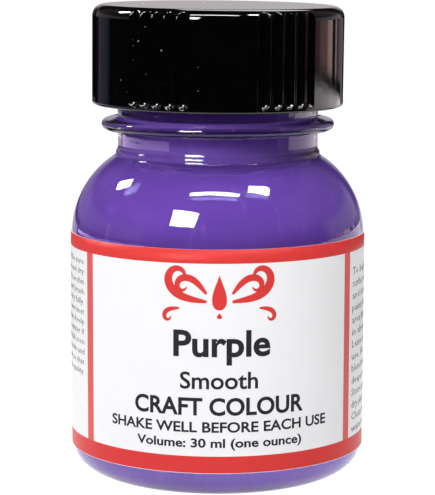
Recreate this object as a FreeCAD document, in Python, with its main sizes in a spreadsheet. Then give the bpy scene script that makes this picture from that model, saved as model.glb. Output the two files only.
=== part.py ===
"""A one-ounce jar of craft paint: a glass bottle with a screw cap, its liner, its wrap label and the paint.

The frame is millimetres, +Z up, with the origin in the middle of the face that the jar rests on.
The front of the label faces -Y. Every round piece turns about the Z axis.
"""

import FreeCAD
import Part
import math
import os
import Sketcher

# ---------------------------------------------------------------------------------------------------------
# Driving dimensions, in millimetres unless the name says otherwise.
# ---------------------------------------------------------------------------------------------------------

DRIVING_DIMENSIONS = {
    # Bottle, outside.
    "body_radius": 18.0,
    "body_top": 29.5,
    "heel_inset": 4.76,
    "heel_height": 3.5,
    "heel_wall_radius": 2.6,
    "rest_ring_width": 2.6,
    "push_up_height": 0.6,
    "shoulder_radius": 11.4,
    "collar_radius": 12.55,
    "collar_height": 0.7,
    "neck_radius": 12.28,
    "bead_radius": 14.26,
    "bead_bottom": 42.4,
    "bead_top": 44.09,
    "bead_edge_radius": 0.55,
    "bead_root_radius": 0.3,
    "lip_top": 55.2,
    "lip_edge_radius": 0.6,
    # Bottle, inside.
    "wall": 2.0,
    "floor_height": 1.8,
    "cavity_heel_radius": 2.4,
    "bore_radius": 8.0,
    "bore_root_radius": 3.0,
    "bore_edge_radius": 0.5,
    # Screw thread, shared by the bottle and the cap. One start, right-handed, six turns to the inch.
    "thread_pitch": 4.2333,
    "thread_seat_offset": 1.5,
    "bottle_thread_start": 48.6,
    "bottle_thread_turns": 1.1,
    "bottle_thread_radius": 13.65,
    "bottle_thread_root_width": 2.3,
    "bottle_thread_crest_width": 1.0,
    "cap_thread_turns": 1.5,
    "cap_thread_radius": 12.85,
    "cap_thread_root_width": 1.8,
    "cap_thread_crest_width": 0.8,
    # Cap.
    "cap_radius": 15.37,
    "cap_bottom": 45.45,
    "cap_top": 57.5,
    "cap_rim_radius": 1.4,
    "cap_hem_radius": 0.3,
    "cap_bore_radius": 14.0,
    "cap_ceiling": 56.2,
    "cap_ceiling_radius": 0.3,
    "flute_depth": 0.5,
    "flute_radius": 0.79,
    "flute_pitch_angle": 6.1,
    "flute_band_height": 0.45,
    "flute_ramp_height": 0.35,
    "first_flute_angle": 20.3,
    # How far an added rib or ramp reaches into the wall that carries it.
    "bury_depth": 0.2,
    # Liner.
    "liner_radius": 13.6,
    "liner_gap": 0.02,
    # Label.
    "label_bottom": 3.5,
    "label_top": 30.0,
    "label_thickness": 0.1,
    "label_gap": 0.02,
    "label_seam_angle": 3.0,
    # Paint.
    "paint_level": 47.2,
    "paint_gap": 0.05,
}

FLUTES_IN_GROUP = 5
FLUTE_GROUPS = 6
GROOVE_OVERRUN = 1.0
MICROLITRES_PER_MILLILITRE = 1000.0


class Size:
    """A length that knows both its value and the sheet expression that gives it."""

    def __init__(self, value, text):
        self.value = value
        self.text = text

    def __add__(self, other):
        return Size(self.value + other.value, f"({self.text} + {other.text})")

    def __sub__(self, other):
        return Size(self.value - other.value, f"({self.text} - {other.text})")

    def __mul__(self, other):
        return Size(self.value * other.value, f"({self.text} * {other.text})")

    def __truediv__(self, other):
        return Size(self.value / other.value, f"({self.text} / {other.text})")

    def half(self):
        return Size(self.value / 2, f"({self.text} / 2)")

    def root(self):
        return Size(math.sqrt(self.value), f"sqrt({self.text})")

    def cosine(self):
        return Size(math.cos(math.radians(self.value)), f"cos({self.text})")

    def sine(self):
        return Size(math.sin(math.radians(self.value)), f"sin({self.text})")


def plain(value):
    """A bare number as a size, for a fixed overrun or count that drives nothing else."""
    return Size(value, str(value))


ZERO = plain(0)


class Dimensions:
    """The spreadsheet of driving dimensions, with each alias as an attribute that holds its Size."""

    def __init__(self, document):
        sheet = document.addObject("Spreadsheet::Sheet", "Sizes")
        for row, (alias, value) in enumerate(DRIVING_DIMENSIONS.items(), start=1):
            sheet.set(f"A{row}", alias.replace("_", " "))
            sheet.set(f"B{row}", str(value))
            sheet.setAlias(f"B{row}", alias)
            setattr(self, alias, Size(value, f"{sheet.Name}.{alias}"))


class Outline:
    """A closed chain of lines and arcs. Its corners are (across, up) pairs of sizes."""

    def __init__(self, across, up):
        self.corners = [(across, up)]
        self.sides = []

    def line(self, across, up):
        self.corners.append((across, up))
        self.sides.append(None)
        return self

    def arc(self, across, up, radius, anticlockwise=True):
        self.corners.append((across, up))
        self.sides.append((radius, anticlockwise))
        return self

    def draw(self, sketch):
        """Draws the closed outline in the sketch, then fixes each corner and radius by an expression."""
        self.sides.append(None)
        ends = []
        for index, side in enumerate(self.sides):
            start = corner_point(self.corners[index])
            finish = corner_point(self.corners[(index + 1) % len(self.corners)])
            if side is None:
                geometry = sketch.addGeometry(Part.LineSegment(start, finish), False)
                ends.append((geometry, 1, 2))
                continue
            radius, anticlockwise = side
            geometry = sketch.addGeometry(circle_arc(start, finish, radius.value, anticlockwise), False)
            ends.append((geometry, 1, 2) if anticlockwise else (geometry, 2, 1))
        for index, (geometry, start_end, _) in enumerate(ends):
            last_geometry, _, last_end = ends[index - 1]
            sketch.addConstraint(Sketcher.Constraint("Coincident", last_geometry, last_end, geometry, start_end))
            fix_point(sketch, geometry, start_end, *self.corners[index])
        for side, (geometry, _, _) in zip(self.sides, ends):
            if side is not None:
                bind(sketch, Sketcher.Constraint("Radius", geometry, side[0].value), side[0])


def corner_point(corner):
    across, up = corner
    return FreeCAD.Vector(across.value, up.value, 0)


def circle_arc(start, finish, radius, anticlockwise):
    """The shorter arc from start to finish, turning the given way."""
    chord = finish - start
    middle = (start + finish) * 0.5
    reach = math.sqrt(radius ** 2 - (chord.Length / 2) ** 2)
    inward = FreeCAD.Vector(-chord.y, chord.x, 0).normalize() * reach
    centre = middle + inward if anticlockwise else middle - inward
    first, second = (start, finish) if anticlockwise else (finish, start)
    first_angle = math.atan2(first.y - centre.y, first.x - centre.x)
    second_angle = math.atan2(second.y - centre.y, second.x - centre.x)
    if second_angle < first_angle:
        second_angle += 2 * math.pi
    circle = Part.Circle(centre, FreeCAD.Vector(0, 0, 1), radius)
    return Part.ArcOfCircle(circle, first_angle, second_angle)


def bind(sketch, constraint, size):
    """Adds a constraint and gives it its value from the sheet."""
    index = sketch.addConstraint(constraint)
    sketch.setExpression(f"Constraints[{index}]", size.text)


def fix_point(sketch, geometry, end, across, up):
    """Fixes a point across and up from the sketch's origin. A point on an axis is tied to that axis."""
    if across.value == 0:
        sketch.addConstraint(Sketcher.Constraint("PointOnObject", geometry, end, -2))
    else:
        bind(sketch, Sketcher.Constraint("DistanceX", -1, 1, geometry, end, across.value), across)
    if up.value == 0:
        sketch.addConstraint(Sketcher.Constraint("PointOnObject", geometry, end, -1))
    else:
        bind(sketch, Sketcher.Constraint("DistanceY", -1, 1, geometry, end, up.value), up)


def new_body(document, label):
    body = document.addObject("PartDesign::Body", label)
    body.Label = label
    return body


def new_sketch(body, name, plane_role):
    """A sketch on one of the body's own origin planes."""
    plane = next(item for item in body.Origin.OriginFeatures if item.Role == plane_role)
    sketch = body.newObject("Sketcher::SketchObject", name)
    sketch.AttachmentSupport = [(plane, "")]
    sketch.MapMode = "FlatFace"
    return sketch


def revolved(body, name, outline, kind="PartDesign::Revolution"):
    """Turns an outline about the Z axis, adding material, or removing it where kind is a Groove."""
    sketch = new_sketch(body, f"{name}_outline", "XZ_Plane")
    outline.draw(sketch)
    feature = body.newObject(kind, name)
    feature.Profile = sketch
    feature.ReferenceAxis = (sketch, ["V_Axis"])
    feature.Angle = 360
    sketch.Visibility = False
    return feature


def thread_rib(body, name, root, crest, start, root_width, crest_width, pitch, turns):
    """A helical rib, trapezoid in section, that climbs anticlockwise from the XZ plane."""
    outline = Outline(root, start - root_width.half())
    outline.line(crest, start - crest_width.half())
    outline.line(crest, start + crest_width.half())
    outline.line(root, start + root_width.half())
    sketch = new_sketch(body, f"{name}_section", "XZ_Plane")
    outline.draw(sketch)
    rib = body.newObject("PartDesign::AdditiveHelix", name)
    rib.Profile = sketch
    rib.ReferenceAxis = (sketch, ["V_Axis"])
    rib.Mode = "pitch-turns-angle"
    rib.setExpression("Pitch", pitch.text)
    rib.setExpression("Turns", turns.text)
    rib.LeftHanded = False
    rib.Reversed = False
    rib.HasBeenEdited = True
    sketch.Visibility = False
    return rib


def arc_rise(centre_across, radius, across):
    """How far above its centre an arc stands where it is this far from the axis."""
    reach = across - centre_across
    return (radius * radius - reach * reach).root()


def bottle_outline(size):
    """The outside of the bottle from the middle of its base, round the heel and up to its lip."""
    contact = size.body_radius - size.heel_inset
    # The heel is two arcs: a tight one off the wall and a wider one that meets the rest ring flat.
    two = plain(2)
    across = size.heel_inset
    rise = size.heel_height
    tight = size.heel_wall_radius
    wide = (across * across + rise * rise - two * across * tight) / (two * (rise - tight))
    join_across = contact + wide * (across - tight) / (wide - tight)
    join_up = wide + wide * (rise - wide) / (wide - tight)
    # The push-up is a shallow dome under the base.
    rest_inner = contact - size.rest_ring_width
    dome = (rest_inner * rest_inner + size.push_up_height * size.push_up_height) / (two * size.push_up_height)
    shoulder_centre = size.body_radius - size.shoulder_radius
    shoulder_top = size.body_top + arc_rise(shoulder_centre, size.shoulder_radius, size.collar_radius)
    collar_top = shoulder_top + size.collar_height
    collar_step = size.collar_radius - size.neck_radius

    # The top of the bead slopes from the neck down to its round nose, and touches the nose smoothly.
    nose_across = size.bead_radius - size.bead_edge_radius
    nose_up = size.bead_bottom + size.bead_edge_radius
    back = size.neck_radius - nose_across
    above = size.bead_top - nose_up
    span = back * back + above * above
    nose = size.bead_edge_radius
    slope = (span - nose * nose).root()
    crown_across = nose_across + (nose * nose * back + nose * slope * above) / span
    crown_up = nose_up + (nose * nose * above - nose * slope * back) / span

    outline = Outline(ZERO, size.push_up_height)
    outline.arc(rest_inner, ZERO, dome, anticlockwise=False)
    outline.line(contact, ZERO)
    outline.arc(join_across, join_up, wide)
    outline.arc(size.body_radius, size.heel_height, tight)
    outline.line(size.body_radius, size.body_top)
    outline.arc(size.collar_radius, shoulder_top, size.shoulder_radius)
    outline.line(size.collar_radius, collar_top)
    outline.line(size.neck_radius, collar_top + collar_step)
    outline.line(size.neck_radius, size.bead_bottom - size.bead_root_radius)
    outline.arc(size.neck_radius + size.bead_root_radius, size.bead_bottom, size.bead_root_radius, False)
    outline.line(size.bead_radius - size.bead_edge_radius, size.bead_bottom)
    outline.arc(size.bead_radius, nose_up, size.bead_edge_radius)
    outline.arc(crown_across, crown_up, size.bead_edge_radius)
    outline.line(size.neck_radius, size.bead_top)
    outline.line(size.neck_radius, size.lip_top - size.lip_edge_radius)
    outline.arc(size.neck_radius - size.lip_edge_radius, size.lip_top, size.lip_edge_radius)
    outline.line(ZERO, size.lip_top)
    return outline


def cavity_outline(size, gap):
    """The inside of the bottle up to the foot of its bore, drawn smaller all round by the gap."""
    wall = size.wall + gap
    radius = size.body_radius - wall
    heel = size.cavity_heel_radius - gap
    floor = size.floor_height + gap
    bore = size.bore_radius - gap
    arc_radius = size.shoulder_radius - wall
    arc_centre = size.body_radius - size.shoulder_radius
    # The shoulder's arc runs smoothly into a reversed arc, which meets the bore upright.
    root = size.bore_root_radius + gap
    reach = arc_radius + root
    root_rise = arc_rise(arc_centre, reach, bore + root)
    share = arc_radius / reach
    join_across = arc_centre + (bore + root - arc_centre) * share
    outline = Outline(ZERO, floor)
    outline.line(radius - heel, floor)
    outline.arc(radius, floor + heel, heel)
    outline.line(radius, size.body_top)
    outline.arc(join_across, size.body_top + root_rise * share, arc_radius)
    outline.arc(bore, size.body_top + root_rise, root, False)
    return outline


def make_glass_bottle(document, size):
    body = new_body(document, "glass_bottle")
    revolved(body, "bottle_blank", bottle_outline(size))
    mouth = size.lip_top + plain(GROOVE_OVERRUN)
    cavity = cavity_outline(size, ZERO)
    cavity.line(size.bore_radius, size.lip_top - size.bore_edge_radius)
    cavity.arc(size.bore_radius + size.bore_edge_radius, size.lip_top, size.bore_edge_radius, False)
    cavity.line(size.bore_radius + size.bore_edge_radius, mouth)
    cavity.line(ZERO, mouth)
    revolved(body, "bottle_cavity", cavity, "PartDesign::Groove")
    thread_rib(
        body,
        "bottle_thread",
        size.neck_radius - size.bury_depth,
        size.bottle_thread_radius,
        size.bottle_thread_start,
        size.bottle_thread_root_width,
        size.bottle_thread_crest_width,
        size.thread_pitch,
        size.bottle_thread_turns,
    )
    return body


def make_paint(document, size):
    """The paint fills the bottle to a level inside the neck."""
    body = new_body(document, "paint")
    fill = cavity_outline(size, size.paint_gap)
    fill.line(size.bore_radius - size.paint_gap, size.paint_level)
    fill.line(ZERO, size.paint_level)
    revolved(body, "paint_fill", fill)
    return body


def make_paper_label(document, size):
    """One strip of paper wrapped round the body, with its two ends nearly meeting at the back."""
    body = new_body(document, "paper_label")
    inner = size.body_radius + size.label_gap
    outer = inner + size.label_thickness
    section = Outline(inner, size.label_bottom)
    section.line(outer, size.label_bottom)
    section.line(outer, size.label_top)
    section.line(inner, size.label_top)
    wrap = revolved(body, "label_wrap", section)
    wrap.Midplane = True
    wrap.setExpression("Angle", f"360 - {size.label_seam_angle.text}")
    # The middle of the strip is drawn on +X and is turned to face the front.
    body.Placement = FreeCAD.Placement(FreeCAD.Vector(0, 0, 0), FreeCAD.Rotation(FreeCAD.Vector(0, 0, 1), -90))
    return body


def add_flutes(body, size):
    """Six groups of upright grip flutes. Each flute runs out through the rim and ends low on a short ramp."""
    sketch = new_sketch(body, "flute_sections", "XY_Plane")
    sketch.setExpression("AttachmentOffset.Base.z", (size.cap_bottom + size.flute_band_height).text)
    reach = size.cap_radius + size.flute_radius - size.flute_depth
    for number in range(FLUTES_IN_GROUP):
        angle = size.first_flute_angle + plain(number) * size.flute_pitch_angle
        across = reach * angle.sine()
        along = reach * angle.cosine()
        centre = FreeCAD.Vector(across.value, -along.value, 0)
        circle = Part.Circle(centre, FreeCAD.Vector(0, 0, 1), size.flute_radius.value)
        geometry = sketch.addGeometry(circle, False)
        bind(sketch, Sketcher.Constraint("Radius", geometry, size.flute_radius.value), size.flute_radius)
        bind(sketch, Sketcher.Constraint("DistanceX", -1, 1, geometry, 3, across.value), across)
        bind(sketch, Sketcher.Constraint("DistanceY", geometry, 3, -1, 1, along.value), along)
    flutes = body.newObject("PartDesign::Pocket", "flutes")
    flutes.Profile = sketch
    flutes.Type = "ThroughAll"
    flutes.Reversed = True
    sketch.Visibility = False
    body.Document.recompute()
    groups = body.newObject("PartDesign::PolarPattern", "flute_groups")
    groups.Originals = [flutes]
    groups.Axis = (sketch, ["N_Axis"])
    groups.Angle = 360
    groups.Occurrences = FLUTE_GROUPS
    body.Tip = groups
    body.Document.recompute()

    ramp_foot = size.cap_bottom + size.flute_band_height
    ramp_inner = size.cap_radius - size.flute_depth - size.bury_depth
    ramp_top = ramp_foot + size.flute_ramp_height
    ramp = Outline(ramp_inner, ramp_foot)
    ramp.line(size.cap_radius, ramp_foot)
    ramp.line(size.cap_radius - size.flute_depth, ramp_top)
    ramp.line(ramp_inner, ramp_top)
    revolved(body, "flute_ramp", ramp)


def make_screw_cap(document, size):
    body = new_body(document, "screw_cap")
    shell = Outline(ZERO, size.cap_bottom)
    shell.line(size.cap_radius - size.cap_hem_radius, size.cap_bottom)
    shell.arc(size.cap_radius, size.cap_bottom + size.cap_hem_radius, size.cap_hem_radius)
    shell.line(size.cap_radius, size.cap_top - size.cap_rim_radius)
    shell.arc(size.cap_radius - size.cap_rim_radius, size.cap_top, size.cap_rim_radius)
    shell.line(ZERO, size.cap_top)
    revolved(body, "cap_blank", shell)
    add_flutes(body, size)

    mouth = size.cap_bottom - plain(GROOVE_OVERRUN)
    hollow = Outline(ZERO, mouth)
    hollow.line(size.cap_bore_radius, mouth)
    hollow.line(size.cap_bore_radius, size.cap_ceiling - size.cap_ceiling_radius)
    hollow.arc(size.cap_bore_radius - size.cap_ceiling_radius, size.cap_ceiling, size.cap_ceiling_radius)
    hollow.line(ZERO, size.cap_ceiling)
    revolved(body, "cap_hollow", hollow, "PartDesign::Groove")
    thread_rib(
        body,
        "cap_thread",
        size.cap_bore_radius + size.bury_depth,
        size.cap_thread_radius,
        size.bottle_thread_start - size.thread_seat_offset,
        size.cap_thread_root_width,
        size.cap_thread_crest_width,
        size.thread_pitch,
        size.cap_thread_turns,
    )
    return body


def make_cap_liner(document, size):
    """A foam disc that the cap presses on the bottle's lip."""
    body = new_body(document, "cap_liner")
    bottom = size.lip_top + size.liner_gap
    top = size.cap_ceiling - size.liner_gap
    disc = Outline(ZERO, bottom)
    disc.line(size.liner_radius, bottom)
    disc.line(size.liner_radius, top)
    disc.line(ZERO, top)
    revolved(body, "liner_disc", disc)
    return body


def check_document(document):
    """Stops on any object that failed to compute."""
    for item in document.Objects:
        failed = [state for state in item.State if state in ("Invalid", "Error")]
        if failed:
            raise RuntimeError(f"{item.Label} is {failed}")


def check_cuts(body):
    """Stops if a groove or pocket removed nothing, or if an added feature added nothing."""
    volume = 0.0
    for feature in body.Group:
        if not hasattr(feature, "Shape") or feature.isDerivedFrom("Sketcher::SketchObject"):
            continue
        change = feature.Shape.Volume - volume
        removes = feature.TypeId in ("PartDesign::Groove", "PartDesign::Pocket", "PartDesign::PolarPattern")
        if (removes and change >= 0) or (not removes and change <= 0):
            raise RuntimeError(f"{body.Label}: {feature.Label} changed the volume by {change:.3f} mm3")
        volume = feature.Shape.Volume


def export_body(body):
    shape = body.Shape
    if shape.isNull() or not shape.isValid() or len(shape.Solids) != 1:
        raise RuntimeError(f"{body.Label} is not one valid solid")
    shape.exportStep(f"parts/{body.Label}.step")
    box = shape.BoundBox
    print(
        f"{body.Label}: {shape.Volume / MICROLITRES_PER_MILLILITRE:.3f} ml, "
        f"x {box.XMin:.3f} to {box.XMax:.3f}, y {box.YMin:.3f} to {box.YMax:.3f}, "
        f"z {box.ZMin:.3f} to {box.ZMax:.3f}"
    )


def main():
    document = FreeCAD.newDocument("paint_jar")
    size = Dimensions(document)
    document.recompute()
    bodies = [
        make_glass_bottle(document, size),
        make_paint(document, size),
        make_paper_label(document, size),
        make_screw_cap(document, size),
        make_cap_liner(document, size),
    ]
    document.recompute()
    check_document(document)
    os.makedirs("parts", exist_ok=True)
    for body in bodies:
        check_cuts(body)
        export_body(body)


main()
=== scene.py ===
# The looks of a one-ounce jar of craft paint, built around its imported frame.
# Lengths are metres in the frame's own axes: +Z up, and the front of the label faces -Y.
import math

import bmesh
import bpy
from mathutils import Matrix, Quaternion, Vector, noise


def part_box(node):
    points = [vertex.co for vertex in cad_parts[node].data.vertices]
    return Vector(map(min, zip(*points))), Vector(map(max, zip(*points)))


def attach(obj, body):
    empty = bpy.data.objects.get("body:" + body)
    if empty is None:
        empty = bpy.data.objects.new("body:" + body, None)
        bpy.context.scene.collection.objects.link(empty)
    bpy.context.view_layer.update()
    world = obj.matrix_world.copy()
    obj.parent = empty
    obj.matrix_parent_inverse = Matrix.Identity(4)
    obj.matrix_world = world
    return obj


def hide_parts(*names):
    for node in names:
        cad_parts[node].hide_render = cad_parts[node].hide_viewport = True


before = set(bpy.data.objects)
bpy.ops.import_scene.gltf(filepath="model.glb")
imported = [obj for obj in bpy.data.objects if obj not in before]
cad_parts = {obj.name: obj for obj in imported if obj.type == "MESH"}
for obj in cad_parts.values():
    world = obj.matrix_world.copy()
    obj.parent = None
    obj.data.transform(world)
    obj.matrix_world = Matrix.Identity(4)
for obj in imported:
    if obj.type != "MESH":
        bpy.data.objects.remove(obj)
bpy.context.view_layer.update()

MM = 0.001
TURN = 2 * math.pi


# ---- Sizes. The boxes of the CAD nodes give the main ones, and the rest are the jar's own small shapes.

def reach(node):
    """How far a round node reaches from the Z axis, to a hundredth of a millimetre."""
    low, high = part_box(node)
    return round(max(high.x, high.y, -low.x, -low.y), 5)


LABEL_LOW, LABEL_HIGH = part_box("paper_label")
CAP_LOW, CAP_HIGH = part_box("screw_cap")
LINER_LOW, LINER_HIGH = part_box("cap_liner")

LABEL_RADIUS = reach("paper_label")
LABEL_THICKNESS = 0.1 * MM
BODY_RADIUS = reach("glass_bottle")
CAP_RADIUS = reach("screw_cap")
LINER_RADIUS = reach("cap_liner")
LIP_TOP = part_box("glass_bottle")[1].z
PAINT_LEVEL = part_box("paint")[1].z

# Bottle, outside.
BODY_TOP = 29.5 * MM
HEEL_INSET = 4.76 * MM
HEEL_HEIGHT = 3.5 * MM
HEEL_WALL_RADIUS = 2.6 * MM
REST_RING_WIDTH = 2.6 * MM
PUSH_UP_HEIGHT = 0.6 * MM
SHOULDER_RADIUS = 11.4 * MM
COLLAR_RADIUS = 12.55 * MM
COLLAR_EDGE_RADIUS = 0.8 * MM
COLLAR_ROOT_RADIUS = 0.45 * MM
NECK_RADIUS = 12.28 * MM
BEAD_RADIUS = 14.26 * MM
BEAD_BOTTOM = 42.4 * MM
BEAD_TOP = 44.0 * MM
BEAD_EDGE_RADIUS = 0.65 * MM
BEAD_ROOT_RADIUS = 0.3 * MM
BEAD_SLOPE_SHARE = 0.9
LIP_EDGE_RADIUS = 0.6 * MM

# Bottle, inside.
WALL = 2.0 * MM
FLOOR_HEIGHT = 1.8 * MM
CAVITY_HEEL_RADIUS = 2.4 * MM
BORE_RADIUS = 8.0 * MM
BORE_ROOT_RADIUS = 3.0 * MM
BORE_EDGE_RADIUS = 0.5 * MM
# The inside wanders a little, from where the waves grow above the floor to where they die in the shoulder.
WALL_WAVE = 0.12 * MM
WAVE_LENGTH = 14 * MM
WAVE_CROWDING = 1.7
WAVE_GROWS = (4 * MM, 12 * MM)
WAVE_DIES = (34 * MM, 40 * MM)
PAINT_OVERLAP = 0.02 * MM
MENISCUS_RISE = 0.45 * MM
MENISCUS_WIDTH = 1.3 * MM
MENISCUS_SHARPNESS = 2.5

# Screw threads.
THREAD_PITCH = 4.2333 * MM
THREAD_LEAD_OUT = math.radians(14)
BOTTLE_THREAD = {
    "start": 48.6 * MM,
    "turns": 1.1,
    "root_width": 2.3 * MM,
    "crest_width": 1.0 * MM,
}
BOTTLE_THREAD_RADIUS = 13.65 * MM
CAP_THREAD = {
    "start": 47.1 * MM,
    "turns": 1.5,
    "root_width": 1.8 * MM,
    "crest_width": 0.8 * MM,
}
CAP_THREAD_RADIUS = 12.85 * MM

# Cap.
CAP_RIM_RADIUS = 1.4 * MM
CAP_HEM_RADIUS = 0.3 * MM
CAP_BORE_RADIUS = 14.0 * MM
CAP_CEILING = 56.2 * MM
CAP_CEILING_RADIUS = 0.3 * MM
CAP_BORE_CHAMFER = 0.15 * MM
CAP_EDGE_STEP = 0.1 * MM
FLUTE_DEPTH = 0.5 * MM
FLUTE_RADIUS = 0.79 * MM
FLUTE_PITCH_ANGLE = math.radians(6.1)
FIRST_FLUTE_ANGLE = math.radians(20.3)
FLUTES_IN_GROUP = 5
FLUTE_GROUPS = 6
FLUTE_FOOT = CAP_LOW.z + 0.45 * MM
FLUTE_EDGE_SOFTNESS = 0.09 * MM
# The cap's mesh has close rows round the flutes' feet and close columns across the flutes. A plain column
# is several of the close ones wide.
FLUTE_FOOT_STRETCH = (-0.06 * MM, 0.9 * MM)
FLUTE_BORDER = 0.62 * FLUTE_PITCH_ANGLE
FINE_COLUMN = math.radians(0.25)
FINE_IN_PLAIN_COLUMN = 5
CLEAR_OF_CAP = 1 * MM
CAP_LEAN_FORWARD = math.radians(0.55)
CAP_LEAN_RIGHT = math.radians(0.45)

# Liner.
LINER_EDGE_RADIUS = 0.12 * MM

# Label print. Angles go round from the front of the jar towards +X.
PRINT_TURN = math.radians(1.0)
SEAM_HALF_ANGLE = math.radians(1.5)
TOP_BAND_FOOT = 28.35 * MM
BOTTOM_BAND_TOP = 5.57 * MM
BARE_EDGE = 0.06 * MM
BAR_INNER_ANGLE = math.radians(55.9)
BAR_OUTER_ANGLE = math.radians(60.3)
INK_PROUD = 0.012 * MM
INK_SUNK = 0.01 * MM
# The largest patch of the label's mesh, and the shortest edge kept in its print.
LABEL_COLUMN = math.radians(1.25)
LABEL_ROW = 2 * MM
SHORTEST_EDGE = 0.002 * MM


# ---- Small helpers, and shapes turned about the Z axis.

def add_object(name, data):
    item = bpy.data.objects.new(name, data)
    bpy.context.scene.collection.objects.link(item)
    return item


def smooth_step(value, low, high):
    share = min(1.0, max(0.0, (value - low) / (high - low)))
    return share * share * (3 - 2 * share)


def smooth_min(first, second, softness):
    overlap = max(softness - abs(first - second), 0.0) / softness
    return min(first, second) - overlap * overlap * softness / 4


def from_front(angle):
    """The angle from +X of a direction given by its angle from the front, towards +X."""
    return angle - TURN / 4


def even_angles(count):
    return [TURN * index / count for index in range(count)]


class Profile:
    """A chain of (radius, height) points, with its arcs broken into short steps."""

    def __init__(self, radius, height):
        self.points = [(radius, height)]

    def line(self, radius, height, steps=1):
        start_radius, start_height = self.points[-1]
        for step in range(1, steps + 1):
            share = step / steps
            point_radius = start_radius + (radius - start_radius) * share
            point_height = start_height + (height - start_height) * share
            self.points.append((point_radius, point_height))
        return self

    def arc(self, radius, height, bend, steps, left=True):
        """The shorter arc of radius bend to the new point, turning left or right on the way."""
        start = Vector(self.points[-1])
        finish = Vector((radius, height))
        chord = finish - start
        inward = Vector((-chord.y, chord.x)).normalized()
        inward *= math.sqrt(max(bend ** 2 - (chord.length / 2) ** 2, 0.0))
        centre = (start + finish) / 2 + (inward if left else -inward)
        first = math.atan2(start.y - centre.y, start.x - centre.x)
        last = math.atan2(finish.y - centre.y, finish.x - centre.x)
        sweep = (last - first) % TURN if left else -((first - last) % TURN)
        for step in range(1, steps + 1):
            angle = first + sweep * step / steps
            self.points.append((centre.x + bend * math.cos(angle), centre.y + bend * math.sin(angle)))


class Turned:
    """A closed mesh built ring by ring about the Z axis, outward under the piece and then up it."""

    def __init__(self):
        self.points = []
        self.faces = []
        self.last_ring = []
        self.last_angles = []

    def pole(self, height):
        self.points.append((0.0, 0.0, height))
        tip = len(self.points) - 1
        count = len(self.last_ring)
        for index in range(count):
            self.faces.append((self.last_ring[index], self.last_ring[(index + 1) % count], tip))
        self.last_ring = [tip]
        self.last_angles = []
        return self

    def ring(self, angles, radius, height):
        """A ring at a radius and height, where the radius may be a function of angle and height."""
        start = len(self.points)
        for angle in angles:
            here = radius(angle, height) if callable(radius) else radius
            self.points.append((here * math.cos(angle), here * math.sin(angle), height))
        ring = list(range(start, len(self.points)))
        count = len(ring)
        below = self.last_ring
        if len(below) == 1:
            self.faces.extend((below[0], ring[(i + 1) % count], ring[i]) for i in range(count))
        elif self.last_angles is angles:
            for index in range(count):
                after = (index + 1) % count
                self.faces.append((below[index], below[after], ring[after], ring[index]))
        elif below:
            self.zip_to(ring, angles)
        self.last_ring = ring
        self.last_angles = angles

    def zip_to(self, ring, angles):
        """Joins the last ring to one with another number of points, with triangles."""
        below = self.last_ring
        below_angles = self.last_angles + [self.last_angles[0] + TURN]
        above_angles = angles + [angles[0] + TURN]
        low = high = 0
        while low < len(below) or high < len(ring):
            low_point = below[low % len(below)]
            high_point = ring[high % len(ring)]
            low_first = high == len(ring) or (
                low < len(below) and below_angles[low + 1] <= above_angles[high + 1]
            )
            if low_first:
                self.faces.append((low_point, below[(low + 1) % len(below)], high_point))
                low += 1
            else:
                self.faces.append((low_point, ring[(high + 1) % len(ring)], high_point))
                high += 1

    def build(self, name):
        mesh = bpy.data.meshes.new(name)
        mesh.from_pydata(self.points, [], self.faces)
        mesh.validate()
        for polygon in mesh.polygons:
            polygon.use_smooth = True
        return add_object(name, mesh)


def thread_rise(angle, height, start, turns, root_width, crest_width):
    """How much of a screw thread's rib stands here: 0 beside it, 1 on its crest."""
    flank = (root_width - crest_width) / 2
    best = 0.0
    for lap in range(int(turns) + 1):
        turned = (angle % TURN) / TURN + lap
        if turned > turns:
            continue
        beside = abs(height - start - turned * THREAD_PITCH)
        rise = smooth_step(root_width / 2 - beside, 0.0, flank)
        run_out = min(turned, turns - turned) * TURN
        best = max(best, rise * smooth_step(run_out, 0.0, THREAD_LEAD_OUT))
    return best


# ---- Bottle and paint.

BOTTLE_ANGLES = even_angles(300)


def heel_join():
    """Where the heel's wide arc meets its tight one, and the wide arc's radius."""
    contact = BODY_RADIUS - HEEL_INSET
    tight = HEEL_WALL_RADIUS
    wide = (HEEL_INSET ** 2 + HEEL_HEIGHT ** 2 - 2 * HEEL_INSET * tight) / (2 * (HEEL_HEIGHT - tight))
    radius = contact + wide * (HEEL_INSET - tight) / (wide - tight)
    height = wide + wide * (HEEL_HEIGHT - wide) / (wide - tight)
    return radius, height, wide


def arc_rise(centre_radius, bend, radius):
    """How far above its centre an arc stands at this radius from the axis."""
    return math.sqrt(bend ** 2 - (radius - centre_radius) ** 2)


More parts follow.
